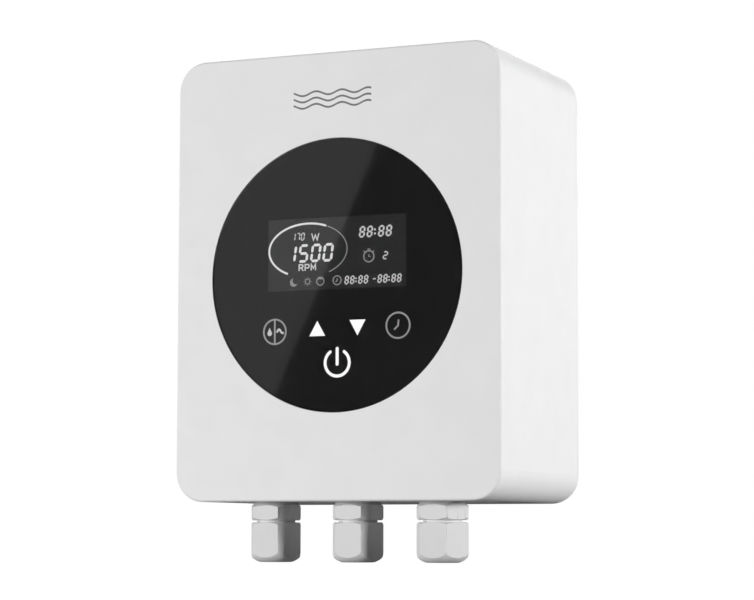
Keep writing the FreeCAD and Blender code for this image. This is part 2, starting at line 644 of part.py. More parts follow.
def gland_nut(x):
    """Dome nut: hexagon above, rounded nose below, bored for the thread, the cage and the cable."""
    z, y = BOTTOM_Z, GLAND_Y
    corner, flat = GLAND_AF / math.sqrt(3) + 0.01, GLAND_AF / 2 - 0.15
    drop = (corner - flat) * math.tan(HEX_CHAMFER)
    z_top, z_end = z - NUT_TOP, z - GLAND_LENGTH
    tip, shoulder = V(x + NOSE_R, y, z_end), V(x + corner, y, z - NOSE_FROM)
    sides = Part.makePolygon([tip, V(x, y, z_end), V(x, y, z_top), V(x + flat, y, z_top),
                              V(x + corner, y, z_top - drop), shoulder])
    nose = Part.Arc(shoulder, V(x + GLAND_AF / 2, y, z - NOSE_MID), tip)
    outline = Part.Wire(sides.Edges + [nose.toShape()])
    outer = Part.Face(outline).revolve(V(x, y, 0), UP, 360)
    outer = hexagon(x, y, GLAND_AF, z_end, z_top).common(outer)
    inner = turned([(0, z_top + 1), (NUT_BORE_R, z_top + 1), (NUT_BORE_R, z - CONE_FROM),
                    (CONE_END_R, z - CONE_TO), (NUT_EXIT_R, z - CONE_TO), (NUT_EXIT_R, z_end - 1),
                    (0, z_end - 1)], x, y)
    return outer.cut(inner)


def gland_cage(x):
    """Ring of claws that the nut's cone closes round the seal."""
    z, y = BOTTOM_Z, GLAND_Y
    low = z - CONE_TO + 0.4
    outer = turned([(0, z - NECK_END - EASE), (CAGE_R - 0.2, z - NECK_END - EASE), (CAGE_R, z - CONE_FROM),
                    (CONE_END_R - 0.22, low), (0, low)], x, y)
    ring = outer.cut(pillar(x, y, CAGE_BORE_R, low - 1, z))
    slots = []
    for i in range(CLAW_COUNT):
        slot = box(x, x + 10, y - 0.5, y + 0.5, low - 1, z - CONE_FROM - 1)
        slot.rotate(V(x, y, 0), UP, (i + 0.5) * 360 / CLAW_COUNT)
        slots.append(slot)
    return cut(ring, slots)


def gland_seal(x):
    z, y = BOTTOM_Z, GLAND_Y
    low = z - CONE_TO + 0.3
    return pillar(x, y, SEAL_R, low, z - SEAL_FROM).cut(pillar(x, y, SEAL_BORE_R, low - 1, z))


# ---- Wall mounting ------------------------------------------------------------------------------
def hanging_studs():
    """Shoulder screws in the rear wall that drop into the bracket's slots."""
    studs = []
    for x, z in corners(STUD_X, STUD_Z):
        neck_end = REAR_Y + STUD_NECK_LEN
        head = rod(x, z, STUD_HEAD_R, neck_end, neck_end + STUD_HEAD_T)
        slot = block(x, z, 2 * STUD_HEAD_R, 1.2, neck_end + STUD_HEAD_T - 1.2, neck_end + STUD_HEAD_T + 1)
        neck = rod(x, z, STUD_NECK_R, REAR_Y, neck_end)
        thread = rod(x, z, M4_R - 0.05, FLOOR_Y - STUD_THREAD_LEN, REAR_Y)
        studs.append(fuse([head.cut(slot), neck, thread]))
    return studs


def wall_bracket():
    """Folded sheet: a wall plate, two side flanges and four lips with slots that open upwards."""
    half_w, half_h = PLATE_W / 2, PLATE_H / 2
    outer = box(-half_w, half_w, LIP_FRONT_Y, 0, -half_h, half_h)
    outer = soften(outer, BEND_R + SHEET_T, lambda e: along(e, UP) and on_plane_y(0)(e))
    inner_w = half_w - SHEET_T
    inner = box(-inner_w, inner_w, LIP_FRONT_Y - 9, -SHEET_T, -half_h - 1, half_h + 1)
    inner = soften(inner, BEND_R, lambda e: along(e, UP) and on_plane_y(-SHEET_T)(e))
    lips = []
    for side, z in corners(1, STUD_Z):
        x0, x1 = sorted((side * (half_w - SHEET_T), side * LIP_OUT))
        lip = box(x0, x1, LIP_FRONT_Y, LIP_FRONT_Y + SHEET_T, z - LIP_BELOW, z + LIP_ABOVE)
        lips.append(soften(lip, 2.0, lambda e: along(e, BACK) and abs(e.BoundBox.XMax) > half_w + 1
                           and abs(e.BoundBox.XMin) > half_w + 1))
    shape = fuse([outer.cut(inner)] + lips)
    slot_r = STUD_NECK_R + 0.2
    front, rear = LIP_FRONT_Y - 1, LIP_FRONT_Y + SHEET_T + 1
    tools = [rod(x, z, slot_r, front, rear) for x, z in corners(STUD_X, STUD_Z)]
    tools += [box(x - slot_r, x + slot_r, front, rear, z, z + LIP_ABOVE + 1)
              for x, z in corners(STUD_X, STUD_Z)]
    tools += [rod(x, z, WALL_SCREW_R, -SHEET_T - 1, 1) for x, z in corners(SCREW_DX, SCREW_DZ)]
    return cut(shape, tools)


# ---- Assembly -----------------------------------------------------------------------------------
def all_nodes():
    nodes = {
        "main_housing": main_housing(),
        "front_cover": front_cover(),
        "cover_seal": seal_ring(0.05),
        "cover_screws": cover_screws(),
        "cover_inserts": cover_inserts(),
        "touch_glass": touch_glass(),
        "glass_adhesive": glass_adhesive(),
        "lcd_panel": lcd_panel(),
        "lcd_backlight": lcd_backlight(),
        "lcd_frame": lcd_frame(),
        "control_board": control_board(),
        "control_chips": control_chips(),
        "control_screws": control_screws(),
        "touch_springs": touch_springs(),
        "battery_holder": battery_holder(),
        "clock_battery": clock_battery(),
        "buzzer": buzzer(),
        "heat_sink": heat_sink(),
        "heat_sink_seal": heat_sink_seal(),
        "heat_sink_screws": heat_sink_screws(),
        "power_board": power_board(),
        "power_board_screws": power_board_screws(),
        "thermal_pads": thermal_pads(),
        "power_module": power_module(),
        "bridge_rectifier": bridge_rectifier(),
        "dc_capacitors": dc_capacitors(),
        "filter_capacitors": filter_capacitors(),
        "choke_core": choke_core(),
        "choke_windings": choke_windings(),
        "pfc_core": pfc_core(),
        "pfc_coil": pfc_coil(),
        "relay": relay(),
        "fuse_clips": fuse_clips(),
        "fuse_link": fuse_link(),
        "mains_terminals": terminal_block(*MAINS_BLOCK),
        "signal_terminals": terminal_block(*SIGNAL_BLOCK),
        "motor_terminals": terminal_block(*MOTOR_BLOCK),
        "terminal_screws": terminal_screws(),
        "ribbon_plugs": ribbon_plugs(),
        "ribbon_cable": ribbon_cable(),
        "hanging_studs": hanging_studs(),
        "wall_bracket": wall_bracket(),
    }
    for number, x in enumerate(GLAND_X, 1):
        nodes[f"gland_body_{number}"] = gland_body(x)
        nodes[f"gland_gasket_{number}"] = gland_gasket(x)
        nodes[f"gland_locknut_{number}"] = gland_locknut(x)
        nodes[f"gland_cage_{number}"] = gland_cage(x)
        nodes[f"gland_seal_{number}"] = gland_seal(x)
        nodes[f"gland_nut_{number}"] = gland_nut(x)
    return nodes


os.makedirs("parts", exist_ok=True)
for name, made in all_nodes().items():
    shape = Part.makeCompound(made) if isinstance(made, list) else made
    if not shape.isValid() or not shape.Solids:
        raise RuntimeError(f"{name} is not a valid solid")
    shape.exportStep(f"parts/{name}.step")
    print(f"{name:20s} solids {len(shape.Solids):2d}  volume {shape.Volume / 1000:8.2f} cm3")
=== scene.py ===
import json
import math

import bmesh
import bpy
from mathutils import Matrix, Vector

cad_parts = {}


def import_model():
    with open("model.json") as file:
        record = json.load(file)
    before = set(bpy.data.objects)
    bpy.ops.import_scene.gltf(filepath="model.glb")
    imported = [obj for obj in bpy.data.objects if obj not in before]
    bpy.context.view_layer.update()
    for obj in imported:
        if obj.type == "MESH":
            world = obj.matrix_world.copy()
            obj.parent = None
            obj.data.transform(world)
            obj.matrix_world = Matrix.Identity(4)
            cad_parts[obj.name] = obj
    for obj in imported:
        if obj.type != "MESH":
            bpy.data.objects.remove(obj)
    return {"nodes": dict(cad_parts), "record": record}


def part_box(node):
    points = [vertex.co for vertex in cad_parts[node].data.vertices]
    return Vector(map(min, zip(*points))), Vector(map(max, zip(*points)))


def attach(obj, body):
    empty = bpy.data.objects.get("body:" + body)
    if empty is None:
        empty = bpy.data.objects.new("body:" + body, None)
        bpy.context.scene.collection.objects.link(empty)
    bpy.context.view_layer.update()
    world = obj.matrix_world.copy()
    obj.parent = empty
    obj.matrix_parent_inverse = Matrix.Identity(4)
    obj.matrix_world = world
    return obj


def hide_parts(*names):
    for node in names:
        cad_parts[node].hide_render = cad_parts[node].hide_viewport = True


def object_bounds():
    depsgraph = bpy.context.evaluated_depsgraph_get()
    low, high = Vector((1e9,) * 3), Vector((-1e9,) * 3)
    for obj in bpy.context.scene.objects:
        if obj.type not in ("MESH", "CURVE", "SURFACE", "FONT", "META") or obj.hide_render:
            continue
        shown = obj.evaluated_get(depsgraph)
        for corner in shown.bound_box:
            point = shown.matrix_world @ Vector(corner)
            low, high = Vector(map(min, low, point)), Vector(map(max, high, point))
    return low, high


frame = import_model()
cad_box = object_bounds()

# Looks of a wall-mounted pump speed controller: a white box with a round black touch display and
# three cable glands below. Lengths are metres in the row frame. Drawings on the front face are in
# millimetres from the glass's centre, x to the right and z up.

MM = 0.001
WHITE = (1, 1, 1)

# ---- Camera ------------------------------------------------------------------------------------
IMAGE_W = 754
SENSOR = 36.0
FOCAL_PX = 2560.2
CAMERA_AT = Vector((0.49042, -1.15066, -0.12074))
YAW, PITCH, ROLL = (math.radians(a) for a in (24.32, 5.43, 0.11))
CLIP_END = 200

# ---- Front face --------------------------------------------------------------------------------
glass_low, glass_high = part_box("touch_glass")
FACE_Y = glass_low.y
GLASS_REAR = glass_high.y
GLASS_R = (glass_high.x - glass_low.x) / 2 / MM
LCD_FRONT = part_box("lcd_panel")[0].y
WINDOW = (-34.0, 35.0, -6.6, 26.2)
PRINT_T = 0.02
PRINT_BACK, SIGN_BACK, LCD_SIGN_LIFT = 0.03 * MM, 0.06 * MM, 0.03 * MM
EDGE_PRINT_BACK, EDGE_PRINT_T = 0.3 * MM, 0.85

# ---- Colours and finishes ----------------------------------------------------------------------
COVER_TINT = (0.84, 0.84, 0.84)
TUB_TINT = (0.84, 0.84, 0.845)
CASE_ROUGH = 0.55
CASE_GRAIN = 0.00004
NYLON = ((0.73, 0.73, 0.73), 0.6, 0.00003, 3200, 0.02)
INK = (0.016, 0.016, 0.016)
GLASS_ROUGH = 0.03
PRINT_GREY = (0.13, 0.13, 0.13)
SIGN_BASE = (0.1, 0.1, 0.1)
LCD_TINT = (0.015, 0.0155, 0.016)
LCD_GLOW = 0.012
MASK_GREEN, TRACK_GREEN, TRACK_WIDTH = (0.02, 0.16, 0.06), (0.05, 0.30, 0.10), 0.09
ZINC_DARK, ZINC_PALE, ZINC_ROUGH = (0.62, 0.64, 0.65), (0.70, 0.72, 0.73), (0.36, 0.44)
METAL_MOTTLE, METAL_GLOSS, METAL_GRAIN = 0.06, 0.08, 0.00004
MOULDED_GLOSS, MOULDED_BUMP = 0.04, 0.35
METAL_BUMP = 0.5

# Moulded materials: colour, roughness, grain depth
PLASTICS = {
    "housing_white": (TUB_TINT, CASE_ROUGH, CASE_GRAIN),
    "seal_rubber": ((0.02, 0.02, 0.02), 0.7, 0.00003),
    "adhesive_foam": ((0.012, 0.012, 0.012), 0.8, 0.0001),
    "light_guide": ((0.8, 0.82, 0.84), 0.2, 0.00001),
    "black_plastic": ((0.025, 0.025, 0.025), 0.45, 0.00003),
    "chip_black": ((0.02, 0.02, 0.022), 0.55, 0.00003),
    "thermal_pad": ((0.45, 0.5, 0.62), 0.8, 0.00005),
    "capacitor_sleeve": ((0.02, 0.03, 0.07), 0.25, 0.00001),
    "capacitor_yellow": ((0.75, 0.5, 0.05), 0.35, 0.00003),
    "ferrite": ((0.07, 0.07, 0.075), 0.7, 0.00008),
    "coil_tape": ((0.75, 0.55, 0.1), 0.25, 0.00002),
    "relay_blue": ((0.04, 0.14, 0.42), 0.35, 0.00003),
    "terminal_green": ((0.03, 0.3, 0.09), 0.45, 0.00003),
    "plug_white": ((0.78, 0.77, 0.7), 0.45, 0.00003),
    "ribbon_grey": ((0.4, 0.4, 0.42), 0.5, 0.00002),
    "gasket_grey": ((0.5, 0.5, 0.5), 0.7, 0.00003),
}

# Metals: colour, roughness, how far the grain is squeezed along each axis
METALS = {
    "screw_steel": ((0.6, 0.6, 0.6), 0.3, (1, 1, 1)),
    "brass_insert": ((0.75, 0.55, 0.25), 0.3, (1, 6, 1)),
    "spring_steel": ((0.65, 0.63, 0.58), 0.3, (1, 8, 1)),
    "cell_steel": ((0.7, 0.7, 0.7), 0.2, (1, 1, 1)),
    "sink_aluminium": ((0.72, 0.73, 0.74), 0.38, (1, 1, 0.02)),
    "copper_wire": ((0.75, 0.33, 0.14), 0.25, (1, 0.1, 1)),
}

# ---- Wave sign on the cover --------------------------------------------------------------------
WAVE_CENTRE, WAVE_SPAN = -1.5 * MM, 39 * MM
WAVE_LEVELS = (77.6 * MM, 80.5 * MM, 83.4 * MM)
WAVE_TURN = 2 * math.pi / (13 * MM)
WAVE_RISE, WAVE_STROKE = 0.9 * MM, 0.9 * MM
WAVE_DEPTH = 0.0004

# ---- Gland threads -----------------------------------------------------------------------------
THREAD_PITCH, THREAD_STEPS = 1.5 * MM, 64
THREAD_ROOT_R, THREAD_CUT_R, THREAD_HALF = 8.2 * MM, 9.1 * MM, 0.7 * MM

# ---- What the display shows --------------------------------------------------------------------
BRIGHT, MIDDLE, DIM = 0.65, 0.5, 0.18
GAUGE = (-13.9, 11.7, 19.6, 12.2)
GAUGE_LIT, GAUGE_REST = (239, 62), (60, -57)
GAUGE_STROKE, SIGN_STROKE = 0.9, 0.5
SLANT = math.tan(math.radians(8))
# Text, lower left corner, width, height, stroke, pitch
SPEED = ("1500", -25.3, 6.1, 5.0, 8.4, 1.2, 6.15)
SPEED_UNIT = ("RPM", -18.3, 2.4, 2.15, 2.8, 0.62, 3.05)
POWER = ("170", -22.3, 16.25, 1.9, 3.6, 0.5, 2.3)
POWER_UNIT = ("W", -12.0, 16.25, 3.6, 3.0, 0.55, 0.0)
COUNT = ("2", 23.2, 5.85, 2.4, 3.7, 0.6, 0.0)
# Width, height, stroke, pitch and the colon's gap
TIME_NOW = (2.9, 5.2, 0.82, 3.75, 1.9)
TIME_SPAN = (2.1, 3.9, 0.6, 2.75, 1.3)
TIME_DASH = [(18.5, -2.65), (19.9, -2.65)]
BASIN, BASIN_R = (-7.6, -2.7), 1.8
BASIN_RIM = [(-8.9, -1.5), (-6.3, -1.5)]

# ---- Key signs ---------------------------------------------------------------------------------
KEY_BRIGHT, KEY_DIM = 0.95, 0.24
UP_KEY = [(-12.9, -27.6), (-4.9, -27.6), (-8.9, -20.7)]
DOWN_KEY = [(7.1, -20.8), (11.1, -27.9), (15.1, -20.8)]
POWER_AT, POWER_R, POWER_END = (1.1, -39.9), 6.0, 55
POWER_STROKE, POWER_CAP = 1.4, 0.7
BAR_LOW, BAR_HIGH, BAR_STROKE, BAR_CAP = -0.6, 6.4, 1.5, 0.74
TIMER_KEY, TIMER_R = (31.0, -24.0), 5.7
MODE_KEY, MODE_R, MODE_BAR = (-30.3, -25.0), 5.6, 5.4
RING_STROKE, WAVE_KEY_STROKE = 0.8, 0.9

# ---- Floor and light ---------------------------------------------------------------------------
FLOOR_DROP, FLOOR_REACH = 0.9, 90.0
FLOOR_DARK, FLOOR_PALE = (0.8, 0.8, 0.8), (0.83, 0.83, 0.83)
FLOOR_GLOW = 1.0
AMBIENT = 0.02
TARGET = Vector((0, -0.06, 0))
# Area lights: name, place, width, height, power
LIGHTS = (
    ("fill_left", (-5.2, -7.2, 0.2), 1.6, 1.6, 696.0),
    ("key_right", (2.0, -0.15, 0.1), 0.4, 0.4, 35.5),
    ("rim_back", (0.9, 1.6, 0.35), 0.8, 0.8, 5.0),
    ("rim_back_left", (-1.4, 1.3, 0.7), 0.8, 0.8, 14.0),
    ("back", (-0.6, 2.1, 1.1), 1.2, 1.2, 14.0),
    ("top", (-0.3, 0.4, 1.8), 1.0, 1.0, 4.0),
    ("low", (0.0, -0.1, -0.9), 0.6, 0.6, 0.7),
)
CARD_EDGE_LOW, CARD_EDGE_HIGH = Vector((-0.783, -1.6, 0.024)), Vector((-0.659, -1.6, 0.298))
CARD_W, CARD_H, CARD_POWER = 0.8, 0.9, 0.66


def camera():
    data = bpy.data.cameras.new("camera")
    data.sensor_width = SENSOR
    data.lens = FOCAL_PX * SENSOR / IMAGE_W
    data.clip_end = CLIP_END
    level = math.cos(PITCH)
    forward = Vector((-math.sin(YAW) * level, math.cos(YAW) * level, math.sin(PITCH)))
    right = Vector((math.cos(YAW), math.sin(YAW), 0))
    up = right.cross(forward)
    x_axis = math.cos(ROLL) * right + math.sin(ROLL) * up
    y_axis = math.cos(ROLL) * up - math.sin(ROLL) * right
    turn = Matrix((x_axis, y_axis, -forward)).transposed().to_4x4()
    seen = bpy.data.objects.new("camera", data)
    seen.matrix_world = Matrix.Translation(CAMERA_AT) @ turn
    bpy.context.scene.collection.objects.link(seen)
    bpy.context.scene.camera = seen


# ---- Materials ---------------------------------------------------------------------------------
class Shader:
    """A material under construction, with short calls for the nodes that the finishes share."""

    def __init__(self, name):
        self.material = bpy.data.materials.new(name)
        self.material.use_nodes = True
        self.tree = self.material.node_tree
        self.bsdf = self.tree.nodes["Principled BSDF"]
        self.place = self.tree.nodes.new("ShaderNodeTexCoord").outputs["Object"]

    def set(self, **values):
        for key, value in values.items():
            self.bsdf.inputs[key.replace("_", " ")].default_value = value

    def link(self, output, socket):
        self.tree.links.new(output, self.bsdf.inputs[socket])

    def feed(self, socket, value):
        """Links a socket to another node's output, or sets it to a plain value."""
        if isinstance(value, bpy.types.NodeSocket):
            self.tree.links.new(value, socket)
        else:
            socket.default_value = value

    def add(self, kind, **inputs):
        """A node, with its inputs given by name, or by number as in0, in1 and so on."""
        made = self.tree.nodes.new(kind)
        for key, value in inputs.items():
            numbered = key.startswith("in") and key[2:].isdigit()
            self.feed(made.inputs[int(key[2:]) if numbered else key], value)
        return made

    def stretched(self, scale):
        mapping = self.add("ShaderNodeMapping", Vector=self.place)
        mapping.inputs["Scale"].default_value = scale
        return mapping.outputs["Vector"]

    def noise(self, scale, detail=2.0, vector=None):
        texture = self.add("ShaderNodeTexNoise", Vector=vector or self.place,
                           Scale=scale, Detail=detail)
        return texture.outputs["Fac"]

    def math(self, operation, a, b=0.0):
        made = self.add("ShaderNodeMath", in0=a, in1=b)
        made.operation = operation
        return made.outputs[0]

    def mix(self, factor, a, b):
        made = self.tree.nodes.new("ShaderNodeMix")
        made.data_type = "RGBA"
        for socket, value in ((0, factor), (6, a), (7, b)):
            self.feed(made.inputs[socket], value)
        return made.outputs[2]

    def mottled(self, factor, colour, spread):
        """A colour that runs a little darker and a little lighter with the factor."""
        return self.mix(factor, rgba(colour, 1 - spread), rgba(colour, 1 + spread))

    def spread(self, factor, low, high):
        """A factor spread between two numbers."""
        made = self.add("ShaderNodeMapRange", Value=factor)
        made.inputs["To Min"].default_value = low
        made.inputs["To Max"].default_value = high
        return made.outputs["Result"]

    def bump(self, height, distance, strength):
        made = self.add("ShaderNodeBump", Height=height, Distance=distance, Strength=strength)
        self.link(made.outputs["Normal"], "Normal")


def rgba(colour, factor=1.0):
    return tuple(min(1.0, c * factor) for c in colour) + (1.0,)


def moulded(name, colour, rough, grain, pitch=2600, mottle=0.03):
    """Moulded plastic or rubber: a fine eroded grain, faint mottling and uneven gloss."""
    shader = Shader(name)
    shader.link(shader.mottled(shader.noise(60, 3), colour, mottle), "Base Color")
    gloss = shader.spread(shader.noise(140, 2), rough - MOULDED_GLOSS, rough + MOULDED_GLOSS)
    shader.link(gloss, "Roughness")
    shader.bump(shader.noise(pitch, 2), grain, MOULDED_BUMP)
    return shader


def metal(name, colour, rough, grain):
    """Metal with a drawn or brushed grain: the grain vector squeezes the noise into lines."""
    shader = Shader(name)
    lines = shader.noise(900, 4, shader.stretched(grain))
    shader.set(Metallic=1.0)
    shader.link(shader.mottled(lines, colour, METAL_MOTTLE), "Base Color")
    shader.link(shader.spread(lines, rough - METAL_GLOSS, rough + METAL_GLOSS), "Roughness")
    shader.bump(lines, METAL_GRAIN, METAL_BUMP)
    return shader


def lit(name, strength):
    """Back-lit white ink: glows evenly, over a print that is faintly grainy."""
    shader = Shader(name)
    shader.link(shader.mottled(shader.noise(5000, 2), SIGN_BASE, 0.1), "Base Color")
    shader.set(Emission_Color=rgba(WHITE), Emission_Strength=strength, Roughness=0.6,
               Specular_IOR_Level=0.0)
    return shader.material


def clear_glass(name, tint, smear, shine=0.5):
    """Glass with a trace of handling marks in its gloss."""
    shader = Shader(name)
    shader.set(Transmission_Weight=1.0, IOR=1.5, Specular_IOR_Level=shine)
    shader.link(shader.mix(shader.noise(40, 3), rgba(tint, 0.99), rgba(tint)), "Base Color")
    shader.link(shader.spread(shader.noise(90, 4), smear / 2, smear), "Roughness")
    return shader.material


def cover_white():
    """The cover's plastic, with three printed waves above the glass as a plain water sign."""
    shader = moulded("cover_white", COVER_TINT, CASE_ROUGH, CASE_GRAIN)
    calc = shader.math
    x, y, z = shader.add("ShaderNodeSeparateXYZ", Vector=shader.place).outputs
    swing = calc("MULTIPLY", calc("SINE", calc("MULTIPLY", x, WAVE_TURN)), WAVE_RISE)
    ink = 0.0
    for level in WAVE_LEVELS:
        off = calc("ABSOLUTE", calc("SUBTRACT", calc("SUBTRACT", z, level), swing))
        ink = calc("MAXIMUM", ink, calc("LESS_THAN", off, WAVE_STROKE / 2))
    across = calc("ABSOLUTE", calc("SUBTRACT", x, WAVE_CENTRE))
    ink = calc("MULTIPLY", ink, calc("LESS_THAN", across, WAVE_SPAN / 2))
    ink = calc("MULTIPLY", ink, calc("LESS_THAN", y, FACE_Y + WAVE_DEPTH))
    plain = shader.bsdf.inputs["Base Color"].links[0].from_socket
    shader.link(shader.mix(ink, plain, rgba(PRINT_GREY)), "Base Color")
    return shader.material


def board_green():
    """Solder mask over copper tracks, which show as paler lines."""
    shader = moulded("board_green", MASK_GREEN, 0.35, 0.00002)
    tracks = shader.add("ShaderNodeTexVoronoi", Vector=shader.place, Scale=160)
    tracks.feature = "DISTANCE_TO_EDGE"
    line = shader.math("LESS_THAN", tracks.outputs["Distance"], TRACK_WIDTH)
    shader.link(shader.mix(line, rgba(MASK_GREEN), rgba(TRACK_GREEN)), "Base Color")
    return shader.material


def zinc_sheet():
    """Galvanised sheet: large crystals of slightly different grey and gloss."""
    shader = Shader("zinc_sheet")
    cells = shader.add("ShaderNodeTexVoronoi", Vector=shader.place, Scale=190)
    grey = shader.add("ShaderNodeSeparateXYZ", Vector=cells.outputs["Color"]).outputs["X"]
    shader.set(Metallic=1.0)
    shader.link(shader.mix(grey, rgba(ZINC_DARK), rgba(ZINC_PALE)), "Base Color")
    shader.link(shader.spread(grey, *ZINC_ROUGH), "Roughness")
    shader.bump(shader.noise(1500, 3), 0.00003, METAL_BUMP)
    return shader.material


def lcd_glass():
    """The unlit field of the display: a dim even glow under a fine pixel grain."""
    shader = Shader("lcd_glass")
    shader.link(shader.mottled(shader.noise(4000, 1), LCD_TINT, 0.1), "Base Color")
    shader.set(Roughness=GLASS_ROUGH, Emission_Color=rgba(WHITE), Emission_Strength=LCD_GLOW)
    return shader.material


def finishes():
    """One material for each material slot of the record."""
    made = {name: moulded(name, *look).material for name, look in PLASTICS.items()}
    made.update({name: metal(name, *look).material for name, look in METALS.items()})
    made["cover_white"] = cover_white()
    made["gland_nylon"] = moulded("gland_nylon", *NYLON).material
    made["board_green"] = board_green()
    made["zinc_sheet"] = zinc_sheet()
    made["lcd_glass"] = lcd_glass()
    made["black_glass"] = clear_glass("black_glass", WHITE, GLASS_ROUGH, 0.0)
    made["fuse_glass"] = clear_glass("fuse_glass", (0.85, 0.9, 0.88), 0.03)
    return made


def dress_nodes():
    made = finishes()
    for part in frame["record"]["subparts"]:
        for place in frame["nodes"][part["node"]].material_slots:
            place.material = made[part["material_slot"]]


# ---- Gland threads -----------------------------------------------------------------------------
def thread_cutter(x, y, low, high):
    """A V-shaped groove that winds round the vertical line at (x, y), as a closed solid."""
    made = bmesh.new()
    count = round((high - low) / THREAD_PITCH * THREAD_STEPS)
    rings = []
    for i in range(count + 1):
        turn = 2 * math.pi * i / THREAD_STEPS
        z = low + THREAD_PITCH * i / THREAD_STEPS
        section = ((THREAD_ROOT_R, z), (THREAD_CUT_R, z + THREAD_HALF),
                   (THREAD_CUT_R, z - THREAD_HALF))
        rings.append([made.verts.new((x + r * math.cos(turn), y + r * math.sin(turn), h))
                      for r, h in section])
    for first, second in zip(rings, rings[1:]):
        for i in range(3):
            j = (i + 1) % 3
            made.faces.new((first[i], first[j], second[j], second[i]))
    made.faces.new(rings[0][::-1])
    made.faces.new(rings[-1])
    bmesh.ops.recalc_face_normals(made, faces=made.faces)
    mesh = bpy.data.meshes.new("thread_cutter")
    made.to_mesh(mesh)
    made.free()
    cutter = bpy.data.objects.new("thread_cutter", mesh)
    bpy.context.scene.collection.objects.link(cutter)
    return cutter


def threaded_bodies():
    """Gland bodies with a real thread cut into the neck that the dome nut runs on."""
    for i in (1, 2, 3):
        node = frame["nodes"][f"gland_body_{i}"]
        low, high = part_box(f"gland_body_{i}")
        nut_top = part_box(f"gland_nut_{i}")[1].z
        cutter = thread_cutter((low.x + high.x) / 2, (low.y + high.y) / 2,
                               low.z - THREAD_HALF, nut_top)
        piece = bpy.data.objects.new(f"threaded_body_{i}", node.data.copy())
        bpy.context.scene.collection.objects.link(piece)
        groove = piece.modifiers.new("thread", "BOOLEAN")
        groove.operation = "DIFFERENCE"
        groove.solver = "EXACT"
        groove.object = cutter
        depsgraph = bpy.context.evaluated_depsgraph_get()
        cut = bpy.data.meshes.new_from_object(piece.evaluated_get(depsgraph))
        piece.modifiers.clear()
        piece.data = cut
        bpy.data.objects.remove(cutter)
        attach(piece, "case")
        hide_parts(f"gland_body_{i}")


# ---- Outlines ----------------------------------------------------------------------------------
def stroke(points, width):
    """The outline of a line of even width through the points, with mitred corners."""
    left, right = [], []
    for i, (x, z) in enumerate(points):
        before = points[max(i - 1, 0)]
        after = points[min(i + 1, len(points) - 1)]
        into = Vector((x - before[0], z - before[1]))
        out = Vector((after[0] - x, after[1] - z))
        into = (into if into.length else out).normalized()
        out = (out if out.length else into).normalized()
        along = (into + out).normalized()
        reach = width / 2 / max(along.dot(into), 0.35)
        left.append((x - along.y * reach, z + along.x * reach))
        right.append((x + along.y * reach, z - along.x * reach))
    return left + right[::-1]


def arc(cx, cz, rx, rz, start, end, steps=48):
    """Points along an ellipse, with angles in degrees from +x towards +z."""
    turns = [math.radians(start + (end - start) * i / steps) for i in range(steps + 1)]
    return [(cx + rx * math.cos(a), cz + rz * math.sin(a)) for a in turns]


def ring(cx, cz, r, width):
    """A circular line, in two halves."""
    halves = ((0, 180), (180, 360))
    return [stroke(arc(cx, cz, r, r, start, end), width) for start, end in halves]


def disc(cx, cz, r):
    return [arc(cx, cz, r, r, 0, 360, 32)[:-1]]


SEGMENTS = {"0": "abcdef", "1": "bc", "2": "abged", "5": "afgcd", "7": "abc", "8": "abcdefg"}


def digit(figure, x, z, w, h, t):
    """A seven-segment figure with its lower left corner at (x, z), leaning to the right."""
    gap, mid, half = t * 0.12, h / 2, t / 2
    flat = {"a": h - half, "g": mid, "d": half}
    upright = {"f": (half, mid, h), "b": (w - half, mid, h),
               "e": (half, 0, mid), "c": (w - half, 0, mid)}
    shapes = []
    for name in SEGMENTS[figure]:
        if name in flat:
            level, a, b = flat[name], gap + half, w - gap - half
            outline = [(a, level), (a + half, level + half), (b - half, level + half),
                       (b, level), (b - half, level - half), (a + half, level - half)]
        else:
            side, low, high = upright[name]
            a = low + gap + (half if low == 0 else 0)
            b = high - gap - (half if high == h else 0)
            outline = [(side, a), (side + half, a + half), (side + half, b - half),
                       (side, b), (side - half, b - half), (side - half, a + half)]
        shapes.append([(x + px + pz * SLANT, z + pz) for px, pz in outline])
    return shapes


def figures(text, x, z, w, h, t, pitch):
    """A row of seven-segment figures."""
    return [shape for i, figure in enumerate(text)
            for shape in digit(figure, x + pitch * i, z, w, h, t)]


def clock_digits(x, z, w, h, t, pitch, gap):
    """Two eights, a colon and two more."""
    shapes = []
    for i in range(4):
        shapes += digit("8", x, z, w, h, t)
        x += pitch
        if i == 1:
            for level in (0.3, 0.65):
                shapes += disc(x + gap / 2 - pitch * 0.1, z + h * level, t * 0.6)
            x += gap
    return shapes


LETTERS = {
    "W": [[(0, 1), (0.24, 0), (0.5, 0.75), (0.76, 0), (1, 1)]],
    "R": [[(0, 0), (0, 1), (0.75, 1), (0.95, 0.78), (0.75, 0.5), (0, 0.5)],
          [(0.45, 0.5), (1, 0)]],
    "P": [[(0, 0), (0, 1), (0.75, 1), (0.95, 0.75), (0.75, 0.45), (0, 0.45)]],
    "M": [[(0, 0), (0, 1), (0.5, 0.35), (1, 1), (1, 0)]],
}


def letters(text, x, z, w, h, t, pitch):
    """A row of stroked unit letters."""
    return [stroke([(x + pitch * i + px * w, z + pz * h) for px, pz in run], t)
            for i, name in enumerate(text) for run in LETTERS[name]]


def clock(cx, cz, r, t):
    """A round face with two hands, at about seven o'clock."""
    hands = [(cx + r * 0.05, cz + r * 0.45), (cx, cz - r * 0.02), (cx - r * 0.33, cz - r * 0.33)]
    return ring(cx, cz, r, t) + [stroke(hands, t)]


